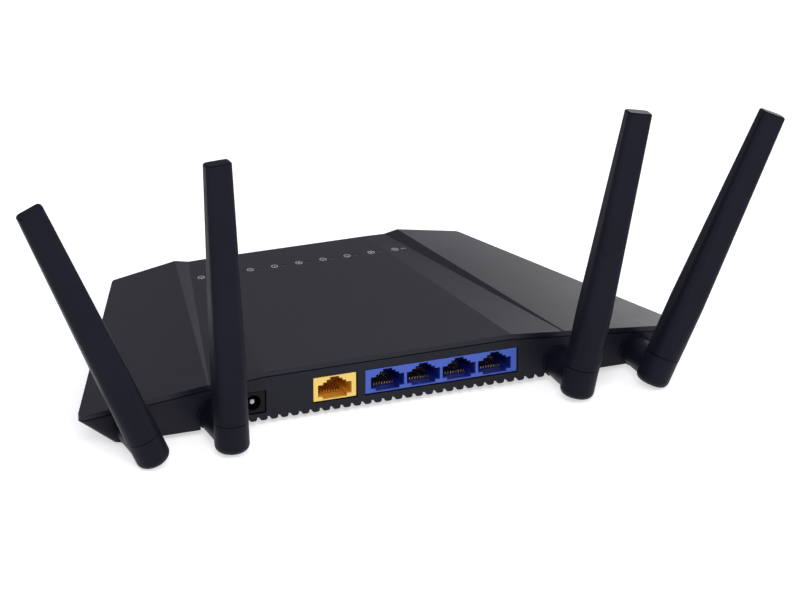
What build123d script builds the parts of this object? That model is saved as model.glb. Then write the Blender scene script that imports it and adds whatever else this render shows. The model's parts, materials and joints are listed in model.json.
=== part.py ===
"""Wireless router with four swivelling antennas, as separate pieces.

Millimetres, +Z up, front edge toward -Y, sockets on the rear wall toward +Y.
The origin is on the underside of the case, midway between the two keyholes.
"""

import os

from build123d import *

os.makedirs("parts", exist_ok=True)

GAP = 0.3  # clearance between pieces that move past each other
FIT = 0.06  # radial clearance of a turning fit

# ---- case: driving dimensions ------------------------------------------------
depth = 106.0
front_y, rear_y = -depth / 2, depth / 2
wall = 2.0
floor_t = 2.0
cover_t = 2.3
seam_gap = 0.4  # dark line between cover and case

rear_half, rear_tip_z = 118.0, 12.2  # outer edge of the wing at the rear
front_half, front_tip_z = 70.0, 17.8  # and at the front
rear_flat, rear_z = 48.0, 18.8  # level stretch above the sockets
panel_front, panel_z = 39.7, 21.0  # sunken centre panel at the front
ridge_front, ridge_z = 45.1, 22.1  # ridge between panel and wing
ridge_rear = 69.0
strip_rear = 0.5  # the sloping strip has almost vanished at the rear
side_lean_front, side_lean_rear = 8.0, 13.0  # the sides lean in towards the bottom
bottom_front = front_half - side_lean_front
bottom_rear = rear_half - side_lean_rear
corner_r = 2.0
crown = 0.15  # slight crown of the panel and of the ridge, so every crease stays crisp


def rear_top(x):
    """Height of the rear top edge beyond its level stretch."""
    fall = (rear_z - rear_tip_z) / (rear_half - rear_flat)
    return rear_z - fall * max(0.0, x - rear_flat)


def blend(a, b, y):
    """Value at station y of a line from a at the front to b at the rear."""
    return a + (b - a) * (y - front_y) / depth


def top_points(y):
    """Right half of the top outline at station y, from the centre outwards."""
    front = [
        (panel_front * 0.8, panel_z + crown),
        (panel_front, panel_z),
        (ridge_front, ridge_z),
        (front_half, front_tip_z),
    ]
    rear = [
        (rear_flat, rear_z),
        (ridge_rear - strip_rear, rear_top(ridge_rear - strip_rear)),
        (ridge_rear, rear_top(ridge_rear) + crown),
        (rear_half, rear_tip_z),
    ]
    return [(blend(f[0], r[0], y), blend(f[1], r[1], y)) for f, r in zip(front, rear)]


def mirrored(points):
    """Right-half points, outermost last, made into a full left-to-right run."""
    return [(-x, z) for x, z in reversed(points)] + points


def case_section(y, inset=0.0, z_floor=0.0, z_lift=0.0):
    """Closed outline of the case below its cover at station y."""
    run = [(x - inset, z - cover_t + z_lift) for x, z in top_points(y)[:-1]]
    tip_x, tip_z = top_points(y)[-1]
    base = blend(bottom_front, bottom_rear, y)
    tip_z -= cover_t
    lean = (tip_x - base) / tip_z
    run.append((tip_x - inset + lean * z_lift, tip_z + z_lift))
    foot_x = base + lean * z_floor - inset
    return mirrored(run) + [(foot_x, z_floor), (-foot_x, z_floor)]


def cover_section(y, t=cover_t):
    """Closed outline of the cover plate at station y."""
    top = mirrored(top_points(y))
    under = [(x, z - t) for x, z in reversed(top)]
    return top + under


def outline_face(points, y):
    """Face of a closed outline, standing upright at station y."""
    with BuildSketch(Plane.XZ.offset(-y)) as outline:
        with BuildLine():
            Polyline(*points, close=True)
        make_face()
    return outline.sketch.face()


# ---- places ------------------------------------------------------------------
inner_wall_y = rear_y - wall
board_z, board_t = 5.0, 1.6
board_top = board_z + board_t
board_rear_y = rear_y - 5.0

port_pitch = 13.97
window_z0, window_h = 3.9, 9.2
window_mid_z = window_z0 + window_h / 2
shadow_gap = 0.4
lan_ports, lan_x = 4, -20.8
lan_w = lan_ports * port_pitch + 3.32
wan_w = port_pitch + 2.43
socket_between = 3.6
wan_x = lan_x + lan_w / 2 + socket_between + wan_w / 2
jack_front_y, jack_depth = rear_y - 0.4, 16.0
jack_back_y = jack_front_y - jack_depth
port_depth = 13.0
contact_up = 0.5  # height of the spring contacts above the floor of a port
# stepped opening, bottom band first: width and height of each band
port_bands = ((9.4, 1.0), (13.0, 4.6), (9.0, 0.9), (6.2, 0.9), (3.6, 0.9))
port_z0 = window_z0 + 0.45

button_x, button_z, button_r = wan_x + 38.3, 7.2, 1.2
button_travel = 0.6
dc_x, dc_z = button_x - 7.0, 7.2
dc_w, dc_h, dc_depth = 9.0, 8.0, 14.0
dc_bore_r, dc_pin_r = 2.95, 1.05

knuckle_r, knuckle_round = 6.3, 2.8
knuckle_down = knuckle_r - 0.1
seam_up = knuckle_r - 1.3
antenna_z = knuckle_r - 1.0
antenna_y = rear_y + knuckle_r + 12.7
boss_r, boss_t = knuckle_r + 0.1, 1.2
antenna_outer = rear_half - 20.0
antenna_inner = button_x + 1.7 + boss_r
antenna_x = (antenna_outer, antenna_inner, -antenna_inner, -antenna_outer)
antenna_tilt = (23.4, 2.1, -12.1, -25.2)
stub_r, neck_r = knuckle_r - 0.3, 2.4
clip_r, clip_t = 3.2, 0.8
groove_r = 1.8
blade_len = 98.0
blade_tip_w, blade_tip_t = 9.8, 5.4
post_r, post_head_r, post_down = 2.5, 3.1, 3.0
lead_bore_r, lead_r = 0.9, 0.65

board_rear_half = button_x + 2.1
led_pitch, led_count = 9.75, 9
led_y = front_y + 16.0
led_shift = -2.3
board_front_half = led_pitch * (led_count - 1) / 2 + 8.0
board_front_y = led_y - 4.0
slot_w, slot_d = 2.0, 1.0
led_h = 0.9

screw_x, screw_y = rear_half - 38.0, rear_y - 33.0
front_screw_x, front_screw_y = front_half - 10.0, front_y + 23.0
screw_spots = (
    (-screw_x, screw_y),
    (screw_x, screw_y),
    (-front_screw_x, front_screw_y),
    (front_screw_x, front_screw_y),
)
boss_split_z = 8.0
foot_spots = {
    "rear_left": (32.0 - rear_half, rear_y - 13.0),
    "rear_right": (rear_half - 32.0, rear_y - 13.0),
    "front_left": (24.0 - front_half, front_y + 10.0),
    "front_right": (front_half - 24.0, front_y + 10.0),
}
foot_r, foot_down, foot_seat = 5.5, 2.6, 0.6
board_screw_spots = (
    (-40.0, board_front_y + 8.0),
    (40.0, board_front_y + 8.0),
    (7.0 - board_rear_half, screw_y),
    (board_rear_half - 7.0, screw_y),
)
keyhole_x, keyhole_r, keyhole_slot = 74.0, 4.0, 2.1
label_w, label_d, label_t = 56.0, 34.0, 0.25

vent_pitch, vent_w, vent_half = 4.0, 2.0, 70.0
vent_y0, vent_len = rear_y - 20.0, 12.0
rib_w, rib_h, rib_len, rib_round = 2.9, 1.3, 7.0, 0.9


def finish(part, name):
    part.label = name
    export_step(part, f"parts/{name}.step")


# ---- outer envelope, used to trim what reaches up to the cover ----------------
with BuildPart() as cover_space:
    loft([outline_face(cover_section(y), y) for y in (front_y, rear_y)], ruled=True)

with BuildPart() as cover_plate:
    thickness = cover_t - seam_gap
    loft([outline_face(cover_section(y, thickness), y) for y in (front_y, rear_y)], ruled=True)

with BuildPart() as under_cover:
    loft([outline_face(case_section(y), y) for y in (front_y, rear_y)], ruled=True)


with BuildPart() as envelope:
    add(under_cover.part)
    add(cover_space.part)


def tall(edge):
    """True for the short upright edges at the four corners of the cover."""
    box = edge.bounding_box()
    return box.size.Y < 0.01 and box.size.X < 0.01


def slot_x(k):
    return led_shift - led_pitch * (k - (led_count - 1) / 2)


# ---- top cover -----------------------------------------------------------------
with BuildPart() as pillars:
    with Locations(*[(x, y, boss_split_z) for x, y in screw_spots]):
        Cylinder(3.4, 20, align=(Align.CENTER, Align.CENTER, Align.MIN))
    add(envelope.part, mode=Mode.INTERSECT)

with BuildPart() as top_cover:
    add(cover_plate.part)
    fillet(top_cover.edges().filter_by(tall), corner_r)
    add(pillars.part)
    with Locations(*[(x, y, boss_split_z) for x, y in screw_spots]):
        Cylinder(1.25, 5.0, align=(Align.CENTER, Align.CENTER, Align.MIN), mode=Mode.SUBTRACT)
    for k in range(led_count):
        with Locations((slot_x(k), led_y, panel_z)):
            Box(slot_w, slot_d, 12, mode=Mode.SUBTRACT)
finish(top_cover.part, "top_cover")

# ---- bottom case ---------------------------------------------------------------
with BuildPart() as cavity:
    ends = (front_y + wall, rear_y - wall)
    loft([outline_face(case_section(y, wall, floor_t, 4.0), y) for y in ends], ruled=True)

with BuildPart() as bottom_case:
    add(under_cover.part)
    rising = lambda edge: (
        edge.bounding_box().min.Z < 0.1 and edge.bounding_box().max.Z > floor_t
    )
    fillet(bottom_case.edges().filter_by(rising), corner_r)
    add(cavity.part, mode=Mode.SUBTRACT)
    # pillars for the case screws, and standoffs for the board
    with Locations(*[(x, y, floor_t) for x, y in screw_spots]):
        Cylinder(4.4, boss_split_z - floor_t, align=(Align.CENTER, Align.CENTER, Align.MIN))
    with Locations(*[(x, y, floor_t) for x, y in board_screw_spots]):
        Cylinder(3.0, board_z - floor_t, align=(Align.CENTER, Align.CENTER, Align.MIN))
    with Locations(*[(x, rear_y, antenna_z) for x in antenna_x]):
        with Locations(Rotation(90, 0, 0)):
            Cylinder(boss_r, boss_t, align=(Align.CENTER, Align.CENTER, Align.MAX))
    with Locations(*[(x, y, 0) for x, y in screw_spots]):
        Cylinder(3.0, 2.8, align=(Align.CENTER, Align.CENTER, Align.MIN), mode=Mode.SUBTRACT)
        Cylinder(1.5, 20, align=(Align.CENTER, Align.CENTER, Align.MIN), mode=Mode.SUBTRACT)
    with Locations(*[(x, y, floor_t) for x, y in board_screw_spots]):
        Cylinder(1.0, 20, align=(Align.CENTER, Align.CENTER, Align.MIN), mode=Mode.SUBTRACT)
    # openings of the rear wall
    with Locations((lan_x, rear_y - wall / 2, window_mid_z)):
        Box(lan_w + 2 * shadow_gap, wall + 4, window_h + 2 * shadow_gap, mode=Mode.SUBTRACT)
    with Locations((wan_x, rear_y - wall / 2, window_mid_z)):
        Box(wan_w + 2 * shadow_gap, wall + 4, window_h + 2 * shadow_gap, mode=Mode.SUBTRACT)
    with Locations((dc_x, rear_y - wall / 2, dc_z)):
        Box(dc_w + 2 * shadow_gap, wall + 2, dc_h + 2 * shadow_gap, mode=Mode.SUBTRACT)
    with Locations(Location((button_x, rear_y, button_z), (90, 0, 0))):
        Cylinder(button_r + FIT, 20, mode=Mode.SUBTRACT)
    with Locations(*[Location((x, rear_y, antenna_z), (90, 0, 0)) for x in antenna_x]):
        Cylinder(neck_r + FIT, 20, mode=Mode.SUBTRACT)
    # ribbed air inlet along the rear edge of the underside
    slots = int(2 * vent_half / vent_pitch) + 1
    with Locations(*[(-vent_half + vent_pitch * i, vent_y0 + vent_len / 2, 0) for i in range(slots)]):
        Box(vent_w, vent_len, 3 * floor_t, mode=Mode.SUBTRACT)
    with Locations((0, rear_y, 0)):
        Box(2 * vent_half + vent_pitch, 2 * rib_len, 2 * rib_h, mode=Mode.SUBTRACT)
    with BuildSketch(Plane.XZ.offset(-rear_y)) as rib_ends:
        with Locations(*[(-vent_half + vent_pitch * (i + 0.5), rib_h / 2) for i in range(slots - 1)]):
            Rectangle(rib_w, rib_h)
        fillet(rib_ends.vertices().filter_by_position(Axis.Y, -0.01, 0.01), rib_round)
    extrude(amount=rib_len)
    # keyholes, foot seats and label recess
    for side in (-1, 1):
        with Locations((side * keyhole_x, 0, 0)):
            Cylinder(keyhole_r, 3 * floor_t, mode=Mode.SUBTRACT)
        with Locations((side * keyhole_x, -5.0, 0)):
            Box(2 * keyhole_slot, 10.0, 3 * floor_t, mode=Mode.SUBTRACT)
    for x, y in foot_spots.values():
        with Locations((x, y, 0)):
            Cylinder(foot_r, 2 * foot_seat, mode=Mode.SUBTRACT)
    with Locations((0, -6.0, 0)):
        Box(label_w, label_d, 2 * label_t, mode=Mode.SUBTRACT)
finish(bottom_case.part, "bottom_case")

# ---- feet, label, screws ---------------------------------------------------------
for name, (x, y) in foot_spots.items():
    with BuildPart() as foot:
        with Locations((x, y, foot_seat)):
            Cylinder(foot_r, foot_seat + foot_down, align=(Align.CENTER, Align.CENTER, Align.MAX))
        fillet(foot.edges().sort_by(Axis.Z)[0], 0.6)
    finish(foot.part, f"foot_{name}")

with BuildPart() as rating_label:
    with Locations((0, -6.0, label_t / 2)):
        Box(label_w, label_d, label_t)
finish(rating_label.part, "rating_label")

with BuildPart() as case_screws:
    for x, y in screw_spots:
        with Locations((x, y, 1.0)):
            Cylinder(2.7, 1.8, align=(Align.CENTER, Align.CENTER, Align.MIN))
            Cylinder(1.25, 11.0, align=(Align.CENTER, Align.CENTER, Align.MIN))
            Box(3.6, 0.7, 1.2, mode=Mode.SUBTRACT)
            Box(0.7, 3.6, 1.2, mode=Mode.SUBTRACT)
finish(case_screws.part, "case_screws")

with BuildPart() as board_screws:
    for x, y in board_screw_spots:
        with Locations((x, y, board_top)):
            Cylinder(2.2, 1.5, align=(Align.CENTER, Align.CENTER, Align.MIN))
            Cylinder(1.0, 4.0, align=(Align.CENTER, Align.CENTER, Align.MAX))
        with Locations((x, y, board_top + 1.5)):
            Box(2.8, 0.6, 1.2, mode=Mode.SUBTRACT)
            Box(0.6, 2.8, 1.2, mode=Mode.SUBTRACT)
finish(board_screws.part, "board_screws")

# ---- main board ------------------------------------------------------------------
with BuildPart() as main_board:
    with BuildSketch(Plane.XY.offset(board_z)):
        with BuildLine():
            Polyline(
                (-board_front_half, board_front_y),
                (board_front_half, board_front_y),
                (board_rear_half, 0),
                (board_rear_half, board_rear_y),
                (-board_rear_half, board_rear_y),
                (-board_rear_half, 0),
                close=True,
            )
        make_face()
    extrude(amount=board_t)
    for x, w in ((lan_x, lan_w), (wan_x, wan_w)):
        with Locations((x, rear_y, board_z)):
            Box(w, 2 * (rear_y - jack_back_y), 4 * board_t, mode=Mode.SUBTRACT)
    with Locations((dc_x, rear_y, board_z)):
        Box(dc_w, 2 * (dc_depth + 0.4), 4 * board_t, mode=Mode.SUBTRACT)
    with Locations(*[(x, y, board_z) for x, y in board_screw_spots]):
        Cylinder(1.0, 10, mode=Mode.SUBTRACT)
finish(main_board.part, "main_board")


# ---- network sockets -------------------------------------------------------------
def port_centres(x, count):
    return [x + port_pitch * (i - (count - 1) / 2) for i in range(count)]


def make_jack(name, x, width, count):
    """Moulded socket block with one stepped opening for each port."""
    centres = port_centres(x, count)
    with BuildPart() as jack:
        with Locations((x, jack_front_y - jack_depth / 2, window_mid_z)):
            Box(width, jack_depth, window_h)
        with BuildSketch(Plane.XZ.offset(-jack_front_y)):
            z = port_z0
            for w, h in port_bands:
                with Locations(*[(c, z + h / 2) for c in centres]):
                    Rectangle(w, h)
                z += h
        extrude(amount=port_depth, mode=Mode.SUBTRACT)
        add(make_contacts(x, count), mode=Mode.SUBTRACT)
    finish(jack.part, name)


def make_contacts(x, count):
    """Comb of eight spring contacts for each port, on one carrier strip."""
    with BuildPart(mode=Mode.PRIVATE) as comb:
        span = port_pitch * (count - 1) + 9.0
        y_back = jack_front_y - port_depth
        with Locations((x, y_back - 0.6, port_z0 + contact_up)):
            Box(span, 1.2, 0.8)
        for c in port_centres(x, count):
            with Locations(*[(c + 1.02 * (i - 3.5), y_back + 4.2, port_z0 + contact_up) for i in range(8)]):
                Box(0.45, 8.4, 0.35)
            with Locations(*[(c + 1.02 * (i - 3.5), y_back + 8.2, port_z0 + contact_up + 0.3) for i in range(8)]):
                Box(0.45, 0.35, 0.9)
    return comb.part


make_jack("lan_jack_block", lan_x, lan_w, lan_ports)
make_jack("wan_jack", wan_x, wan_w, 1)
finish(make_contacts(lan_x, lan_ports), "lan_contacts")
finish(make_contacts(wan_x, 1), "wan_contacts")

# ---- power inlet -------------------------------------------------------------------
dc_front_y = rear_y - 0.4
dc_plane = Plane.XZ.offset(-dc_front_y)
dc_mouth_depth = 9.5
with BuildPart() as dc_pin:
    with BuildSketch(Plane.XZ.offset(-(dc_front_y - dc_depth + 1.0))):
        with Locations((dc_x, dc_z)):
            Circle(dc_pin_r)
    extrude(amount=-(dc_depth - 2.0))
    fillet(dc_pin.edges().sort_by(Axis.Y)[-1], 0.4)
finish(dc_pin.part, "dc_jack_pin")

with BuildPart() as dc_spring:
    with Locations((dc_x + dc_bore_r - 0.3, dc_front_y - 5.5, dc_z)):
        Box(0.4, 6.0, 2.0)
    with Locations((dc_x + dc_bore_r + 0.5, dc_front_y - 8.2, dc_z)):
        Box(1.2, 0.6, 2.0)
finish(dc_spring.part, "dc_jack_spring")

with BuildPart() as dc_body:
    with Locations((dc_x, dc_front_y - dc_depth / 2, dc_z)):
        Box(dc_w, dc_depth, dc_h)
    with BuildSketch(dc_plane):
        with Locations((dc_x, dc_z)):
            Circle(dc_bore_r)
    extrude(amount=dc_mouth_depth, mode=Mode.SUBTRACT)
    add(dc_pin.part, mode=Mode.SUBTRACT)
    add(dc_spring.part, mode=Mode.SUBTRACT)
finish(dc_body.part, "dc_jack_body")

# ---- reset button and its switch -----------------------------------------------------
with BuildPart() as reset_button:
    with BuildSketch(Plane.XZ.offset(-(inner_wall_y - GAP - 0.8))):
        with Locations((button_x, button_z)):
            Circle(button_r)
    extrude(amount=-(wall + GAP + 0.8 + 0.6))
    fillet(reset_button.edges().sort_by(Axis.Y)[-1], 0.3)
    with BuildSketch(Plane.XZ.offset(-(inner_wall_y - GAP))):
        with Locations((button_x, button_z)):
            Circle(button_r + 0.7)
    extrude(amount=0.8)
finish(reset_button.part, "reset_button")

switch_front_y = inner_wall_y - GAP - 0.8 - button_travel - GAP
with BuildPart() as reset_switch:
    with Locations((button_x, switch_front_y - 1.0, board_top)):
        Box(4.0, 2.6, 2.6, align=(Align.CENTER, Align.MAX, Align.MIN))
    with BuildSketch(Plane.XZ.offset(-(switch_front_y - 1.0))):
        with Locations((button_x, board_top + 1.3)):
            Circle(0.8)
    extrude(amount=-1.0)
finish(reset_switch.part, "reset_switch")


# ---- parts on the board ----------------------------------------------------------------
def board_block(name, x, y, w, d, h, z=board_top, round_r=0.3):
    with BuildPart() as block:
        with Locations((x, y, z)):
            Box(w, d, h, align=(Align.CENTER, Align.CENTER, Align.MIN))
        fillet(block.edges().filter_by(Axis.Z), round_r)
    finish(block.part, name)


def board_can(name, x, y, r, h):
    with BuildPart() as can:
        with Locations((x, y, board_top)):
            Cylinder(r, h, align=(Align.CENTER, Align.CENTER, Align.MIN))
        chamfer(can.edges().sort_by(Axis.Z)[-1], 0.4)
    finish(can.part, name)


chip_x, chip_y, chip_h, pad_h = -6.0, 8.0, 1.2, 0.5
board_block("processor", chip_x, chip_y, 14.0, 14.0, chip_h)
board_block("thermal_pad", chip_x, chip_y, 13.0, 13.0, pad_h, board_top + chip_h)
with BuildPart() as heat_sink:
    base_z = board_top + chip_h + pad_h
    with Locations((chip_x, chip_y, base_z)):
        Box(26, 26, 1.5, align=(Align.CENTER, Align.CENTER, Align.MIN))
    with Locations(*[(chip_x - 12 + 4 * i, chip_y, base_z + 1.5) for i in range(7)]):
        Box(1.4, 26, 4.5, align=(Align.CENTER, Align.CENTER, Align.MIN))
finish(heat_sink.part, "heat_sink")
board_block("memory_chip", 16.0, 10.0, 9.0, 12.0, 1.1)
board_block("flash_chip", 16.0, -6.0, 6.0, 5.0, 1.6)
board_block("shield_2g", 34.0, -4.0, 20.0, 24.0, 2.6, round_r=0.8)
board_block("shield_5g", -36.0, -4.0, 22.0, 26.0, 2.6, round_r=0.8)
magnetics_y = jack_back_y - 7.6
board_block("lan_transformer", lan_x, magnetics_y, 28.0, 7.5, 5.2)
board_block("wan_transformer", wan_x, magnetics_y, 12.5, 7.5, 5.2)
board_block("power_inductor", wan_x + 21.4, magnetics_y, 7.0, 7.0, 3.2, round_r=1.0)
gap_mid = (wan_x + wan_w / 2 + dc_x - dc_w / 2) / 2
board_can("filter_capacitor_1", gap_mid, board_rear_y - 6.0, 3.15, 7.0)
board_can("filter_capacitor_2", wan_x + 13.4, jack_back_y - 5.6, 2.5, 6.0)
board_block("crystal", -6.0, -12.0, 5.0, 3.2, 1.2, round_r=0.8)

# ---- status lamps and light guide -------------------------------------------------------
with BuildPart() as status_leds:
    with Locations((slot_x((led_count - 1) / 2), led_y, board_top)):
        Box(led_pitch * (led_count - 1) + 6, 3.0, 0.3, align=(Align.CENTER, Align.CENTER, Align.MIN))
    with Locations(*[(slot_x(k), led_y, board_top + 0.3) for k in range(led_count)]):
        Box(1.6, 0.8, led_h, align=(Align.CENTER, Align.CENTER, Align.MIN))
finish(status_leds.part, "status_leds")

guide_z0 = board_top + 0.3 + led_h
guide_top = blend(panel_z, rear_z, led_y) - 0.1
with BuildPart() as light_guide:
    with Locations(*[(slot_x(k), led_y, guide_z0) for k in range(led_count)]):
        Box(slot_w - 0.1, slot_d - 0.1, guide_top - guide_z0, align=(Align.CENTER, Align.CENTER, Align.MIN))
    with Locations((slot_x((led_count - 1) / 2), led_y, guide_z0 + 5.0)):
        Box(led_pitch * (led_count - 1) + 4, 2.4, 1.6)
finish(light_guide.part, "light_guide")

# ---- antennas: built upright at the origin, then set in place ---------------------------
inner_end = inner_wall_y - GAP - clip_t - 0.8 - antenna_y
wall_in = inner_wall_y - antenna_y
boss_out = rear_y + boss_t + GAP - antenna_y
cavity_w, cavity_t, cavity_len = 3.2, 0.9, 70.0
cavity_z = seam_up + 8.0


def upright_cylinder(radius, z0, z1, mode=Mode.ADD):
    with Locations((0, 0, z0)):
        Cylinder(radius, z1 - z0, align=(Align.CENTER, Align.CENTER, Align.MIN), mode=mode)


def level_cylinder(radius, y0, y1, mode=Mode.ADD):
    """Cylinder along Y from y0 to y1."""
    with Locations(Location((0, (y0 + y1) / 2, 0), (90, 0, 0))):
        Cylinder(radius, y1 - y0, mode=mode)


with BuildPart() as knuckle:
    upright_cylinder(knuckle_r, -knuckle_down, seam_up)
    fillet(knuckle.edges().sort_by(Axis.Z)[0], knuckle_round)
    level_cylinder(stub_r, boss_out, 0)
    with Locations((0, 0, seam_up)):
        clear = 2 * (knuckle_r + GAP)
        Box(clear, clear, 20, align=(Align.CENTER, Align.CENTER, Align.MIN), mode=Mode.SUBTRACT)
    level_cylinder(neck_r, inner_end, boss_out)
    level_cylinder(neck_r + 1, wall_in - GAP - clip_t, wall_in - GAP, Mode.SUBTRACT)
    level_cylinder(groove_r, wall_in - GAP - clip_t, wall_in - GAP)
    level_cylinder(lead_bore_r, inner_end, 0, Mode.SUBTRACT)
    upright_cylinder(post_r + FIT, -post_down, seam_up, Mode.SUBTRACT)
    upright_cylinder(post_head_r + GAP / 2, -post_down, -post_down + 2.2, Mode.SUBTRACT)

with BuildPart() as clip:
    level_cylinder(clip_r, wall_in - GAP - clip_t, wall_in - GAP)
    level_cylinder(groove_r, wall_in - GAP - clip_t, wall_in - GAP, Mode.SUBTRACT)

with BuildPart() as radiator:
    with Locations((0, 0, cavity_z)):
        Box(cavity_w, cavity_t, cavity_len, align=(Align.CENTER, Align.CENTER, Align.MIN))

with BuildPart() as blade:
    stations = (
        (seam_up + GAP, 2 * knuckle_r, 2 * knuckle_r),
        (seam_up + 22.0, 2 * knuckle_r - 0.7, 2 * knuckle_r - 2.4),
        (seam_up + blade_len, blade_tip_w, blade_tip_t),
    )
    for z, w, t in stations:
        with BuildSketch(Plane.XY.offset(z)):
            RectangleRounded(w, t, min(w, t) * (0.48 if z < seam_up + 10 else 0.3))
    loft(ruled=True)
    chamfer(blade.faces().sort_by(Axis.Z)[-1].edges(), 0.5)
    upright_cylinder(post_r, -post_down + 0.3, seam_up + GAP)
    upright_cylinder(post_head_r, -post_down + 0.3, -post_down + 1.7)
    add(radiator.part, mode=Mode.SUBTRACT)

for i, (x, tilt) in enumerate(zip(antenna_x, antenna_tilt), start=1):
    place = Location((x, antenna_y, antenna_z), (0, tilt, 0))
    for part, name in ((knuckle, "knuckle"), (clip, "clip"), (blade, "blade"), (radiator, "radiator")):
        with BuildPart() as placed:
            with Locations(place):
                add(part.part)
        finish(placed.part, f"antenna_{i}_{name}")
    # lead from the stub to the board
    side = 1 if x > 0 else -1
    start_y = antenna_y + inner_end - GAP
    with BuildPart() as lead:
        pad_x = side * (board_rear_half - 4.0)
        pad_y = rear_y - 37.0 if abs(x) == antenna_outer else rear_y - 19.0
        with BuildLine() as route:
            Spline(
                (x, start_y, antenna_z),
                (x, start_y - 4, antenna_z + 0.2),
                (side * (board_rear_half + 3.0), pad_y + 3, board_top + 3.0),
                (pad_x, pad_y, board_top + lead_r + 0.4),
                tangents=[(0, -1, 0), (-side, 0, -0.2)],
            )
        with BuildSketch(Plane(origin=route.line @ 0, z_dir=route.line % 0)):
            Circle(lead_r)
        sweep()
    finish(lead.part, f"antenna_{i}_lead")
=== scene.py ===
"""Wireless router: materials, small printed details, floor, lights and camera."""

import json
import math

import bmesh
import bpy
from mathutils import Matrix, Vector


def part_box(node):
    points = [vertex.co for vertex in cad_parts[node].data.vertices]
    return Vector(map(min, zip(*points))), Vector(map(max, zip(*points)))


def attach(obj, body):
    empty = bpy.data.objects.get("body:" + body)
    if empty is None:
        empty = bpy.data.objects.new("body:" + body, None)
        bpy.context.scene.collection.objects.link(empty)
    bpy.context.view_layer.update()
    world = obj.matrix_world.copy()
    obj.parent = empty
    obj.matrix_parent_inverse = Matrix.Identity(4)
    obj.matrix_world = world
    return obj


MM = 0.001

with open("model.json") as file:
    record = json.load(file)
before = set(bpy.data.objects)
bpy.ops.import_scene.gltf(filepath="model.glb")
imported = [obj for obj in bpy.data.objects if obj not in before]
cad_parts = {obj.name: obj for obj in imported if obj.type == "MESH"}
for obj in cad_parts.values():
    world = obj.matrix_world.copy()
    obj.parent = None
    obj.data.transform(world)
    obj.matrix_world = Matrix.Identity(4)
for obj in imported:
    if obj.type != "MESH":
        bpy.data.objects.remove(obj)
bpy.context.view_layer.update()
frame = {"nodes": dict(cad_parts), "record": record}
nodes = frame["nodes"]

# ---- driving values, millimetres unless named otherwise ------------------------
VIEW_YAW = math.radians(21.52)  # camera's turn from straight behind, towards +X
VIEW_PITCH = math.radians(22.07)  # and its height above level
CAMERA_AT = Vector((555.6, 1473.4, 657.8)) * MM
LENS = 206.1

LAMP_COUNT = 9
LAMP_PITCH = 9.75
ICON_SIDE = 3.4  # from a lamp's slot to its printed icon
ICON_R = 1.35
ICON_PEN = 0.32  # width of a printed line
ICON_DOT_R = 0.42
ICON_DOT_HOLE_R = 0.0001
ICON_STROKE_START = -0.1  # lower end of the upright stroke, from the middle
ICON_BAR_HALF = 0.55
PRINT_T = 0.04
PRINT_LIFT = 0.01
RAY_FROM_Z = 0.2  # metres, above every piece

FLOOR_DROP = 0.02  # keeps the floor off the undersides of the feet
FLOOR_GLOW = 0.55
WORLD_STRENGTH = 0.42

SOCKET_SHADE_START_DEPTH, SOCKET_SHADE_FULL_DEPTH = 0.15, 1.6  # depths behind the socket's face where the painted shade inside the openings starts and where it is full
socket_face_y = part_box("lan_jack_block")[1][1]


# ---- materials --------------------------------------------------------------------
def new_material(name):
    material = bpy.data.materials.new(name)
    material.use_nodes = True
    tree = material.node_tree
    shader = tree.nodes["Principled BSDF"]
    return material, tree, shader


def noise(tree, scale, detail=4.0, rough=0.6):
    coords = tree.nodes.new("ShaderNodeTexCoord")
    tex = tree.nodes.new("ShaderNodeTexNoise")
    tex.inputs["Scale"].default_value = scale
    tex.inputs["Detail"].default_value = detail
    tex.inputs["Roughness"].default_value = rough
    tree.links.new(coords.outputs["Object"], tex.inputs["Vector"])
    return tex.outputs["Fac"]


def ramp(tree, source, low, high, from_low=0.3, from_high=0.7):
    node = tree.nodes.new("ShaderNodeMapRange")
    node.inputs["From Min"].default_value = from_low
    node.inputs["From Max"].default_value = from_high
    node.inputs["To Min"].default_value = low
    node.inputs["To Max"].default_value = high
    tree.links.new(source, node.inputs["Value"])
    return node.outputs["Result"]


def mix_colours(tree, factor, a, b):
    node = tree.nodes.new("ShaderNodeMix")
    node.data_type = "RGBA"
    tree.links.new(factor, node.inputs["Factor"])
    node.inputs["A"].default_value = (*a, 1.0)
    node.inputs["B"].default_value = (*b, 1.0)
    return node.outputs["Result"]


def bump(tree, shader, height, strength, distance):
    node = tree.nodes.new("ShaderNodeBump")
    node.inputs["Strength"].default_value = strength
    node.inputs["Distance"].default_value = distance
    tree.links.new(height, node.inputs["Height"])
    tree.links.new(node.outputs["Normal"], shader.inputs["Normal"])


def moulded(
    name, base, other, rough, rough_other, grain_mm, grain_depth, coat=0.0, specular=0.5
):
    """Moulded plastic: spark-eroded grain, faint colour drift and handling marks."""
    material, tree, shader = new_material(name)
    drift = noise(tree, 28.0, 5.0, 0.55)
    colour = mix_colours(tree, ramp(tree, drift, 0.0, 1.0), base, other)
    tree.links.new(colour, shader.inputs["Base Color"])
    smudge = noise(tree, 60.0, 6.0, 0.7)
    tree.links.new(ramp(tree, smudge, rough, rough_other), shader.inputs["Roughness"])
    grain = noise(tree, 1.0 / (grain_mm * MM), 3.0, 0.6)
    bump(tree, shader, grain, 0.35, grain_depth * MM)
    shader.inputs["Specular IOR Level"].default_value = specular
    shader.inputs["Coat Weight"].default_value = coat
    shader.inputs["Coat Roughness"].default_value = 0.25
    return material


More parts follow.
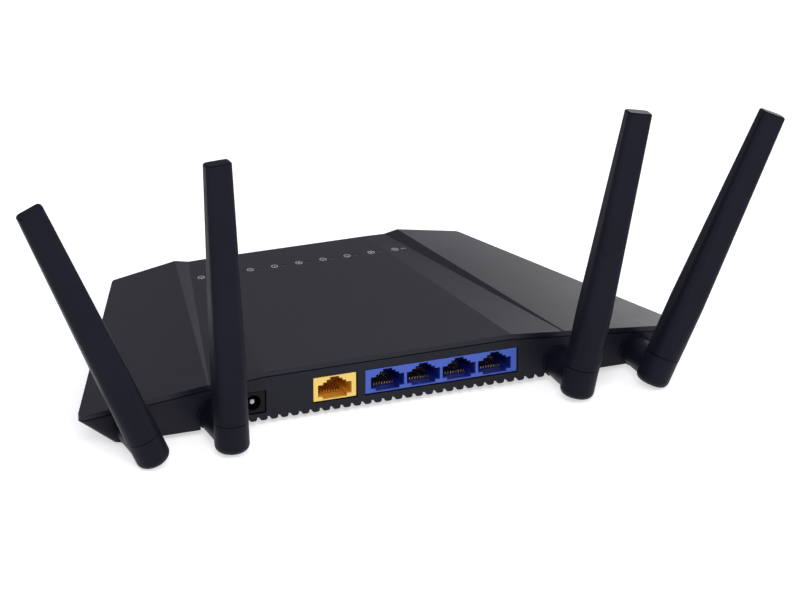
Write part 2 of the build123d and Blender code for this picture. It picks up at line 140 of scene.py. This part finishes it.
def socket(name, face, painted_shade_colour):
    """Socket plastic: clean on its face, with painted shade inside the openings that darkens
    the colour deeper behind the face.
    """
    material = moulded(name, face, tuple(0.92 * c for c in face), 0.36, 0.46, 0.3, 0.008)
    tree = material.node_tree
    shader = tree.nodes["Principled BSDF"]
    coords = tree.nodes.new("ShaderNodeTexCoord")
    split = tree.nodes.new("ShaderNodeSeparateXYZ")
    tree.links.new(coords.outputs["Object"], split.inputs["Vector"])
    # Painted shade: the colour darkens with depth behind the socket's face, standing in for
    # the shade inside the openings.
    shade_amount = ramp(
        tree,
        split.outputs["Y"],
        1.0,
        0.0,
        socket_face_y - SOCKET_SHADE_FULL_DEPTH * MM,
        socket_face_y - SOCKET_SHADE_START_DEPTH * MM,
    )
    shade_mix = tree.nodes.new("ShaderNodeMix")
    shade_mix.data_type = "RGBA"
    tree.links.new(shade_amount, shade_mix.inputs["Factor"])
    old = shader.inputs["Base Color"].links[0].from_socket
    tree.links.new(old, shade_mix.inputs["A"])
    shade_mix.inputs["B"].default_value = (*painted_shade_colour, 1.0)
    tree.links.new(shade_mix.outputs["Result"], shader.inputs["Base Color"])
    return material


def metal(name, base, other, rough, brushed_along=None):
    """Metal with fine brushing or a rolled surface."""
    material, tree, shader = new_material(name)
    shader.inputs["Metallic"].default_value = 1.0
    coords = tree.nodes.new("ShaderNodeTexCoord")
    stretch = tree.nodes.new("ShaderNodeMapping")
    scale = [900.0, 900.0, 900.0]
    if brushed_along is not None:
        scale[brushed_along] = 30.0
    stretch.inputs["Scale"].default_value = scale
    tex = tree.nodes.new("ShaderNodeTexNoise")
    tex.inputs["Scale"].default_value = 1.0
    tex.inputs["Detail"].default_value = 4.0
    tree.links.new(coords.outputs["Object"], stretch.inputs["Vector"])
    tree.links.new(stretch.outputs["Vector"], tex.inputs["Vector"])
    fac = tex.outputs["Fac"]
    colour = mix_colours(tree, ramp(tree, fac, 0.0, 1.0), base, other)
    tree.links.new(colour, shader.inputs["Base Color"])
    tree.links.new(ramp(tree, fac, rough - 0.06, rough + 0.08), shader.inputs["Roughness"])
    bump(tree, shader, fac, 0.2, 0.02 * MM)
    return material


def board_material(name):
    """Solder-masked board: copper tracks show as a lighter pattern under green lacquer."""
    material, tree, shader = new_material(name)
    coords = tree.nodes.new("ShaderNodeTexCoord")
    tracks = tree.nodes.new("ShaderNodeTexBrick")
    tracks.inputs["Scale"].default_value = 160.0
    tracks.inputs["Mortar Size"].default_value = 0.06
    tracks.inputs["Color1"].default_value = (0.01, 0.12, 0.05, 1)
    tracks.inputs["Color2"].default_value = (0.012, 0.15, 0.06, 1)
    tracks.inputs["Mortar"].default_value = (0.03, 0.26, 0.1, 1)
    tree.links.new(coords.outputs["Object"], tracks.inputs["Vector"])
    tree.links.new(tracks.outputs["Color"], shader.inputs["Base Color"])
    shader.inputs["Roughness"].default_value = 0.32
    bump(tree, shader, tracks.outputs["Fac"], 0.3, 0.03 * MM)
    return material


case_black = moulded(
    "case_plastic", (0.004, 0.004, 0.0085), (0.006, 0.006, 0.0125),
    0.28, 0.36, 0.32, 0.008, 0.0, 0.24,
)
wall_black = moulded(
    "case_wall_plastic", (0.004, 0.004, 0.0085), (0.006, 0.006, 0.0125),
    0.40, 0.50, 0.4, 0.02, 0.0, 0.18,
)
antenna_black = moulded(
    "antenna_plastic", (0.003, 0.0033, 0.008), (0.0045, 0.005, 0.011),
    0.42, 0.52, 0.3, 0.015, 0.0, 0.1,
)
# Each socket's second colour is painted shade for the inside of its openings, not the
# plastic's own colour.
socket_blue_painted_shade = socket("socket_blue_painted_shade", (0.026, 0.07, 0.38), (0.005, 0.013, 0.17))
socket_yellow_painted_shade = socket("socket_yellow_painted_shade", (0.72, 0.50, 0.11), (0.60, 0.25, 0.02))
inlet_black = moulded(
    "inlet_plastic", (0.0025, 0.0025, 0.004), (0.004, 0.004, 0.006),
    0.45, 0.55, 0.3, 0.015, 0.0, 0.12,
)
foot_rubber = moulded(
    "foot_rubber", (0.018, 0.018, 0.02), (0.03, 0.03, 0.032),
    0.7, 0.85, 0.25, 0.05,
)
label_paper = moulded("label_film", (0.55, 0.56, 0.58), (0.6, 0.6, 0.62), 0.4, 0.5, 0.5, 0.004)
chip_black = moulded(
    "chip_plastic", (0.012, 0.012, 0.013), (0.02, 0.02, 0.021),
    0.5, 0.62, 0.15, 0.01,
)
pad_grey = moulded("pad_silicone", (0.3, 0.34, 0.38), (0.36, 0.4, 0.43), 0.6, 0.7, 0.4, 0.01)
lens_smoke = moulded(
    "lens_smoke", (0.16, 0.17, 0.19), (0.2, 0.21, 0.23),
    0.12, 0.2, 0.5, 0.002, 0.3,
)
led_white = moulded("led_resin", (0.75, 0.74, 0.62), (0.82, 0.8, 0.68), 0.25, 0.35, 0.4, 0.004)
lead_grey = moulded(
    "lead_jacket", (0.05, 0.05, 0.055), (0.07, 0.07, 0.075),
    0.5, 0.6, 0.3, 0.01,
)
print_grey = moulded("print_ink", (0.42, 0.43, 0.47), (0.5, 0.51, 0.55), 0.5, 0.6, 0.2, 0.004)
contact_gold = metal("contact_gold", (0.85, 0.62, 0.22), (0.92, 0.72, 0.32), 0.22, 1)
screw_steel = metal("screw_steel", (0.55, 0.55, 0.57), (0.66, 0.66, 0.68), 0.3)
pin_steel = metal("pin_steel", (0.3, 0.3, 0.32), (0.4, 0.4, 0.42), 0.3, 1)
shield_tin = metal("shield_tin", (0.62, 0.62, 0.6), (0.72, 0.72, 0.7), 0.28, 0)
sink_aluminium = metal("sink_aluminium", (0.68, 0.69, 0.71), (0.76, 0.77, 0.79), 0.33, 1)
radiator_brass = metal("radiator_brass", (0.66, 0.5, 0.2), (0.74, 0.58, 0.27), 0.3, 2)
board_green = board_material("board_lacquer")

LOOKS = {
    "case_black": wall_black,
    "antenna_black": antenna_black,
    "lan_blue": socket_blue_painted_shade,
    "wan_yellow": socket_yellow_painted_shade,
    "contact_gold": contact_gold,
    "socket_black": inlet_black,
    "steel": screw_steel,
    "foot_rubber": foot_rubber,
    "label_grey": label_paper,
    "board_green": board_green,
    "chip_black": chip_black,
    "shield_tin": shield_tin,
    "sink_aluminium": sink_aluminium,
    "pad_grey": pad_grey,
    "lens_smoke": lens_smoke,
    "led_white": led_white,
    "radiator_brass": radiator_brass,
    "lead_grey": lead_grey,
}
SPECIAL = {"top_cover": case_black, "dc_jack_pin": pin_steel}

for part in frame["record"]["subparts"]:
    obj = nodes[part["node"]]
    look = SPECIAL.get(part["node"], LOOKS[part["material_slot"]])
    for slot in obj.material_slots:
        slot.material = look
    if not obj.material_slots:
        obj.data.materials.append(look)


# ---- small pieces ---------------------------------------------------------------------
def piece(name, mesh_maker, material, body):
    mesh = bpy.data.meshes.new(name)
    bm = bmesh.new()
    mesh_maker(bm)
    bmesh.ops.recalc_face_normals(bm, faces=bm.faces)
    bm.to_mesh(mesh)
    bm.free()
    obj = bpy.data.objects.new(name, mesh)
    bpy.context.scene.collection.objects.link(obj)
    mesh.materials.append(material)
    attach(obj, body)
    return obj


def ring(bm, centre, tilt, inner, outer, thick, steps=28):
    """Flat printed ring, lying on the panel's slope."""
    rows = []
    for i in range(steps):
        a = 2 * math.pi * i / steps
        row = []
        for r, z in ((inner, 0), (outer, 0), (outer, thick), (inner, thick)):
            point = Vector((r * math.cos(a), r * math.sin(a), z))
            row.append(bm.verts.new(centre + tilt @ point))
        rows.append(row)
    for i in range(steps):
        a, b = rows[i], rows[(i + 1) % steps]
        for k in range(4):
            bm.faces.new((a[k], a[(k + 1) % 4], b[(k + 1) % 4], b[k]))


def bar(bm, centre, tilt, x0, x1, y0, y1, thick):
    """Flat printed bar, lying on the panel's slope."""
    corners = [
        bm.verts.new(centre + tilt @ Vector((x, y, z)))
        for z in (0, thick)
        for x, y in ((x0, y0), (x1, y0), (x1, y1), (x0, y1))
    ]
    sides = ((0, 1, 5, 4), (1, 2, 6, 5), (2, 3, 7, 6), (3, 0, 4, 7))
    for face in ((0, 1, 2, 3), (4, 5, 6, 7), *sides):
        bm.faces.new([corners[i] for i in face])


guide_low, guide_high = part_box("light_guide")
lamp_y = (guide_low[1] + guide_high[1]) / 2
lamp_mid_x = (guide_low[0] + guide_high[0]) / 2


def surface_height(x, y):
    """Height of the cover's top under a point, by a ray from above."""
    cover = nodes["top_cover"]
    _, where, normal, _ = cover.ray_cast(Vector((x, y, RAY_FROM_Z)), Vector((0, 0, -1)))
    return where.z, normal


def icon_maker(k):
    x = lamp_mid_x + LAMP_PITCH * MM * ((LAMP_COUNT - 1) / 2 - k) + ICON_SIDE * MM
    z, normal = surface_height(x, lamp_y)
    tilt = Vector((0, 0, 1)).rotation_difference(normal).to_matrix()
    centre = Vector((x, lamp_y, z + PRINT_LIFT * MM))
    r, t = ICON_R * MM, PRINT_T * MM
    pen = ICON_PEN * MM

    def make(bm):
        ring(bm, centre, tilt, r - pen, r, t)
        kind = k % 3
        if kind == 0:
            bar(bm, centre, tilt, -pen / 2, pen / 2, ICON_STROKE_START * MM, r - pen, t)
        elif kind == 1:
            ring(bm, centre, tilt, ICON_DOT_HOLE_R * MM, ICON_DOT_R * MM, t, steps=14)
        else:
            half = ICON_BAR_HALF * MM
            bar(bm, centre, tilt, -half, half, -pen / 2, pen / 2, t)

    return make


for k in range(LAMP_COUNT):
    piece(f"lamp_icon_{k + 1}", icon_maker(k), print_grey, "case")

# ---- floor, lights and camera -----------------------------------------------------------
floor_z = min(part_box(name)[0][2] for name in nodes if name.startswith("foot_"))
bpy.ops.mesh.primitive_plane_add(size=8.0, location=(0, 0, floor_z - FLOOR_DROP * MM))
floor = bpy.context.active_object
floor.name = "floor"
floor_look, floor_tree, floor_shader = new_material("floor_white")
floor_shader.inputs["Base Color"].default_value = (0.93, 0.93, 0.94, 1)
floor_shader.inputs["Roughness"].default_value = 0.8
floor_shader.inputs["Emission Color"].default_value = (1.0, 1.0, 1.0, 1)
floor_shader.inputs["Emission Strength"].default_value = FLOOR_GLOW
floor.data.materials.append(floor_look)

world = bpy.context.scene.world or bpy.data.worlds.new("studio")
bpy.context.scene.world = world
world.use_nodes = True
background = world.node_tree.nodes["Background"]
background.inputs["Color"].default_value = (0.90, 0.90, 1.0, 1)
background.inputs["Strength"].default_value = WORLD_STRENGTH


def soft_light(name, at, target, size, power):
    data = bpy.data.lights.new(name, "AREA")
    data.shape = "DISK"
    data.size = size
    data.energy = power
    obj = bpy.data.objects.new(name, data)
    obj.location = at
    obj.rotation_euler = (Vector(target) - Vector(at)).to_track_quat("-Z", "Y").to_euler()
    bpy.context.scene.collection.objects.link(obj)


soft_light("key", (0.5, 1.3, 1.1), (0, 0, 0), 0.9, 16)
soft_light("fill", (-1.2, 1.1, 0.7), (0, 0, 0.02), 0.9, 8)
soft_light("rim", (-1.35, -1.65, 0.50), (0, 0, 0.02), 0.6, 6)

forward = Vector((
    -math.sin(VIEW_YAW) * math.cos(VIEW_PITCH),
    -math.cos(VIEW_YAW) * math.cos(VIEW_PITCH),
    -math.sin(VIEW_PITCH),
))
camera_data = bpy.data.cameras.new("camera")
camera_data.lens = LENS
camera_data.sensor_width = 36.0
camera_data.clip_end = 50.0
camera = bpy.data.objects.new("camera", camera_data)
camera.location = CAMERA_AT
camera.rotation_euler = forward.to_track_quat("-Z", "Y").to_euler()
bpy.context.scene.collection.objects.link(camera)
bpy.context.scene.camera = camera
bpy.context.scene.view_settings.view_transform = "Standard"
